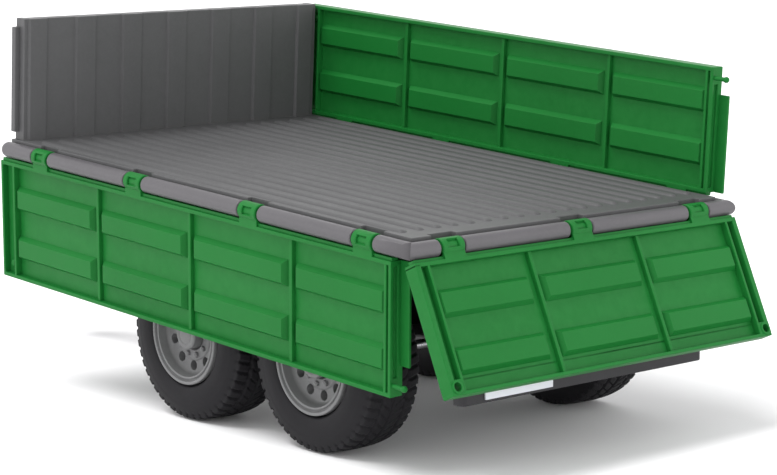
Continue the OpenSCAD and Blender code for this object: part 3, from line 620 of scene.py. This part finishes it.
def rim():
    """Dished disc wheel: double lip, ten round hand holes that go right through."""
    p = Part()
    t = bmesh.new()
    NS, NR = 16, 8                                        # points per sector side, per radial side
    n = 10 * NS
    front = [(18.95, 70.9), (19.3, 71.3), (19.3, 73.0), (19.15, 73.25), (18.9, 73.35), (18.35, 73.35), (18.1, 73.2), (17.95, 72.5),
             (17.75, 72.25), (17.4, 72.25), (17.2, 72.35), (17.05, 72.75), (16.85, 72.9), (16.5, 72.9), (16.3, 72.75), (16.1, 71.6),
             (15.85, 69.7), (15.55, 69.1), (15.0, 68.6), (14.6, 68.4)]
    inner = [(10.6, 68.05), (10.3, 68.3), (10.0, 68.55), (9.7, 68.6), (6.9, 68.6), (6.55, 68.45), (6.3, 68.1), (6.1, 67.2), (5.8, 66.6), (1.8, 66.4), (1.8, 47.2), (5.0, 47.2), (5.0, 61.6), (6.0, 62.2), (10.4, 63.4)]
    back = [(14.4, 64.5), (15.2, 64.0), (15.5, 63), (15.8, 48.9), (16.4, 48.3), (18.7, 48.2), (19.2, 48.35), (19.3, 48.6), (19.3, 49.4), (18.9, 49.9), (17.5, 50.3), (17.45, 60), (17.5, 70.5), (18.95, 70.9)]

    def ring(r, y):
        return [t.verts.new((r * sin(2 * pi * k / n), r * cos(2 * pi * k / n), y)) for k in range(n)]

    for prof in (front, inner, back):
        rs = [ring(*q) for q in prof]
        for A, B in zip(rs, rs[1:]):
            for k in range(n):
                j = (k + 1) % n
                t.faces.new((A[k], A[j], B[j], B[k]))
    # pierced fields on both faces, with a rounded mouth and a straight wall between them
    hr = 1.85
    for i in range(10):
        a0 = 2 * pi * i / 10
        ca = a0 + pi / 10
        walls = []
        for (ra, rb, ya, yb) in ((10.6, 14.6, 68.05, 68.4), (10.4, 14.4, 63.4, 64.5)):
            bd = []
            for k in range(NS):
                bd.append((rb, a0 + 2 * pi / 10 * k / NS))
            for k in range(NR):
                bd.append((rb + (ra - rb) * k / NR, a0 + 2 * pi / 10))
            for k in range(NS):
                bd.append((ra, a0 + 2 * pi / 10 * (1 - k / NS)))
            for k in range(NR):
                bd.append((ra + (rb - ra) * k / NR, a0))
            cx, cz = 12.5 * sin(ca), 12.5 * cos(ca)
            yat = lambda r: ya + (yb - ya) * (r - ra) / (rb - ra)
            outer = [t.verts.new((r * sin(a), r * cos(a), yat(r))) for r, a in bd]
            ang = [math.atan2(v.co.y - cz, v.co.x - cx) for v in outer]
            rows = [outer]
            inward = -1 if ya > 66 else 1
            for (hh, dy) in ((hr + 0.28, 0.0), (hr + 0.10, 0.06), (hr, 0.26)):
                rows.append([t.verts.new((cx + hh * cos(g), cz + hh * sin(g), yat(12.5 + (hh * cos(g) * sin(ca) + hh * sin(g) * cos(ca))) + inward * dy)) for g in ang])
            for A, B in zip(rows, rows[1:]):
                m = len(A)
                for k in range(m):
                    j = (k + 1) % m
                    t.faces.new((A[k], A[j], B[j], B[k]))
            walls.append((rows[-1], ang))
        (A, ga), (B, gb) = walls
        order = lambda ring_, gs: [v for _, v in sorted(zip([g % (2 * pi) for g in gs], ring_), key=lambda q: q[0])]
        A, B = order(A, ga), order(B, gb)
        for k in range(len(A)):
            j = (k + 1) % len(A)
            t.faces.new((A[k], A[j], B[j], B[k]))
    bmesh.ops.remove_doubles(t, verts=t.verts, dist=1e-3)
    p.take(t)
    return p


def hub_cap():
    p = Part()
    p.lathe([(0, 72.3), (3.2, 72.3), (3.4, 72.15), (3.8, 72.15), (4.0, 72.3), (5.0, 72.3), (5.35, 72.2), (5.65, 71.95), (5.8, 71.55), (5.8, 67.0), (5.85, 66.55), (4.4, 66.5), (4.4, 70.6), (0, 70.6)], 'z', 72)
    return p


def nuts():
    p = Part()
    for i in range(10):
        a = 2 * pi * (i + 0.5) / 10
        c = (8.35 * cos(a), 8.35 * sin(a))
        t = bmesh.new()
        rows = []
        for (r, z) in ((1.15, 68.5), (1.15, 69.45), (0.98, 69.72)):
            rows.append([t.verts.new((c[0] + r * cos(a + pi / 3 * k), c[1] + r * sin(a + pi / 3 * k), z)) for k in range(6)])
        t.faces.new(rows[0][::-1])
        t.faces.new(rows[-1])
        for A, B in zip(rows, rows[1:]):
            for k in range(6):
                t.faces.new((A[k], A[(k + 1) % 6], B[(k + 1) % 6], B[k]))
        p.take(t, 0.08, 1, 20)
        p.lathe([(0, 69.95), (0.42, 69.95), (0.55, 69.8), (0.55, 69.5), (0, 69.5)], 'z', 16, (c[0], c[1], 0))
    return p


for ax, x in AXLES.items():
    for s, side in ((1, "left"), (-1, "right")):
        W = LEVEL @ (Matrix.Identity(4) if s > 0 else FLIPY) @ T(x, 0, -52.3) @ R(-90, 'X') @ R(17 if ax == "front" else -9, 'Z')
        b = f"{ax}_{side}_wheel"
        k = f"{ax}_{side}"
        tyre().finish(k + "_tyre_tread", W, b, [k + "_tyre"], "tyre", TYRE, sharp=70, weighted=False)
        rim().finish(k + "_wheel_disc", W, b, [k + "_rim"], "rim_plastic", RIM, sharp=40, weighted=True)
        hub_cap().finish(k + "_hub_drum", W, b, [k + "_hub_cap"], "rim_plastic", RIM)
        nuts().finish(k + "_lug_nuts", W, b, [k + "_wheel_nuts"], "rim_plastic", RIM, sharp=25, weighted=False)


# ------------------------------------------------------------------ chassis and running gear
for node, body, slot, mat, r in (
    ("bed_sills", "bed", "black_plastic", BLACK, 0.35), ("bed_bearers", "bed", "black_plastic", BLACK, 0.3),
    ("ram_clevis", "bed", "black_plastic", BLACK, 0.25), ("left_chassis_rail", "chassis", "black_plastic", BLACK, 0.35),
    ("right_chassis_rail", "chassis", "black_plastic", BLACK, 0.35), ("chassis_crossmembers", "chassis", "black_plastic", BLACK, 0.35),
    ("ram_cradle", "chassis", "black_plastic", BLACK, 0.25), ("left_suspension", "chassis", "black_plastic", BLACK, 0.2),
    ("right_suspension", "chassis", "black_plastic", BLACK, 0.2), ("drawbar", "chassis", "black_plastic", BLACK, 0.4),
    ("bumper_arms", "chassis", "black_plastic", BLACK, 0.3), ("rear_bumper", "chassis", "black_plastic", BLACK, 0.5),
    ("number_plate", "chassis", "white_plastic", WHITE, 0.15), ("towing_eye", "chassis", "steel", STEEL, 0.25),
    ("eye_bolts", "chassis", "steel", STEEL, 0.1), ("ram_base_pin", "chassis", "steel", STEEL, 0.2),
    ("tip_hinge_pins", "chassis", "steel", STEEL, 0.2), ("front_axle", "chassis", "steel", STEEL, 0.2),
    ("rear_axle", "chassis", "steel", STEEL, 0.2), ("axle_push_nuts", "chassis", "steel", STEEL, 0.1),
    ("ram_top_pin", "bed", "steel", STEEL, 0.2), ("ram_barrel", "barrel", "black_plastic", BLACK, 0.3),
    ("ram_stage_1", "stage_1", "steel", STEEL, 0.2), ("ram_stage_2", "stage_2", "steel", STEEL, 0.2), ("ram_rod", "rod", "steel", STEEL, 0.15),
):
    refined(node, body, mat, r)


# ------------------------------------------------------------------ stage
def floor_material():
    m = bpy.data.materials.new("studio_floor")
    m.use_nodes = True
    nt = m.node_tree
    b = next(x for x in nt.nodes if x.type == 'BSDF_PRINCIPLED')
    b.inputs['Base Color'].default_value = (0.90, 0.895, 0.905, 1)
    b.inputs['Roughness'].default_value = 0.9
    b.inputs['Specular IOR Level'].default_value = 0.1
    return m


bm = bmesh.new()
bmesh.ops.create_grid(bm, x_segments=2, y_segments=2, size=60.0)
me = bpy.data.meshes.new("studio_floor")
bm.to_mesh(me)
bm.free()
floor = bpy.data.objects.new("studio_floor", me)
floor.location = (0, 0, -0.0318)
scene.collection.objects.link(floor)
me.materials.append(floor_material())

world = bpy.data.worlds.new("studio")
scene.world = world
world.use_nodes = True
wn = world.node_tree
bg = next(x for x in wn.nodes if x.type == 'BACKGROUND')
bg.inputs['Color'].default_value = (1, 1, 1, 1)
# brighter towards the horizon, as in a white tent
wc = wn.nodes.new('ShaderNodeTexCoord')
wx = wn.nodes.new('ShaderNodeSeparateXYZ')
wm = wn.nodes.new('ShaderNodeMapRange')
wm.inputs['From Min'].default_value, wm.inputs['From Max'].default_value = 0.0, 1.0
wm.inputs['To Min'].default_value, wm.inputs['To Max'].default_value = 2.15, 0.45
wn.links.new(wc.outputs['Generated'], wx.inputs['Vector'])
wn.links.new(wx.outputs['Z'], wm.inputs['Value'])
wn.links.new(wm.outputs['Result'], bg.inputs['Strength'])


def sun(name, direction, strength, angle, col=(1, 1, 1)):
    l = bpy.data.lights.new(name, 'SUN')
    l.energy, l.angle, l.color = strength, radians(angle), col
    o = bpy.data.objects.new(name, l)
    o.rotation_mode = 'QUATERNION'
    o.rotation_quaternion = Vector(direction).to_track_quat('Z', 'Y')
    scene.collection.objects.link(o)


sun("top_soft", (0.18, 0.36, 1.0), 2.5, 36)
sun("rear_fill", (-1.0, -0.25, 0.5), 0.4, 90)

cam_data = bpy.data.cameras.new("camera")
cam_data.sensor_width = 36.0
cam_data.lens = 117.44
cam_data.clip_start, cam_data.clip_end = 0.05, 200
cam = bpy.data.objects.new("camera", cam_data)
right = Vector((-0.66607457, -0.74587513, -0.00386761))
up = Vector((0.10691668, -0.1006069, 0.98916484))
fwd = Vector((0.73818256, -0.65844403, -0.14675819))
cam.matrix_world = Matrix(((right.x, up.x, -fwd.x, -0.961854), (right.y, up.y, -fwd.y, 0.647753), (right.z, up.z, -fwd.z, 0.180051), (0, 0, 0, 1)))
scene.collection.objects.link(cam)
scene.camera = cam
scene.view_settings.view_transform = 'Standard'
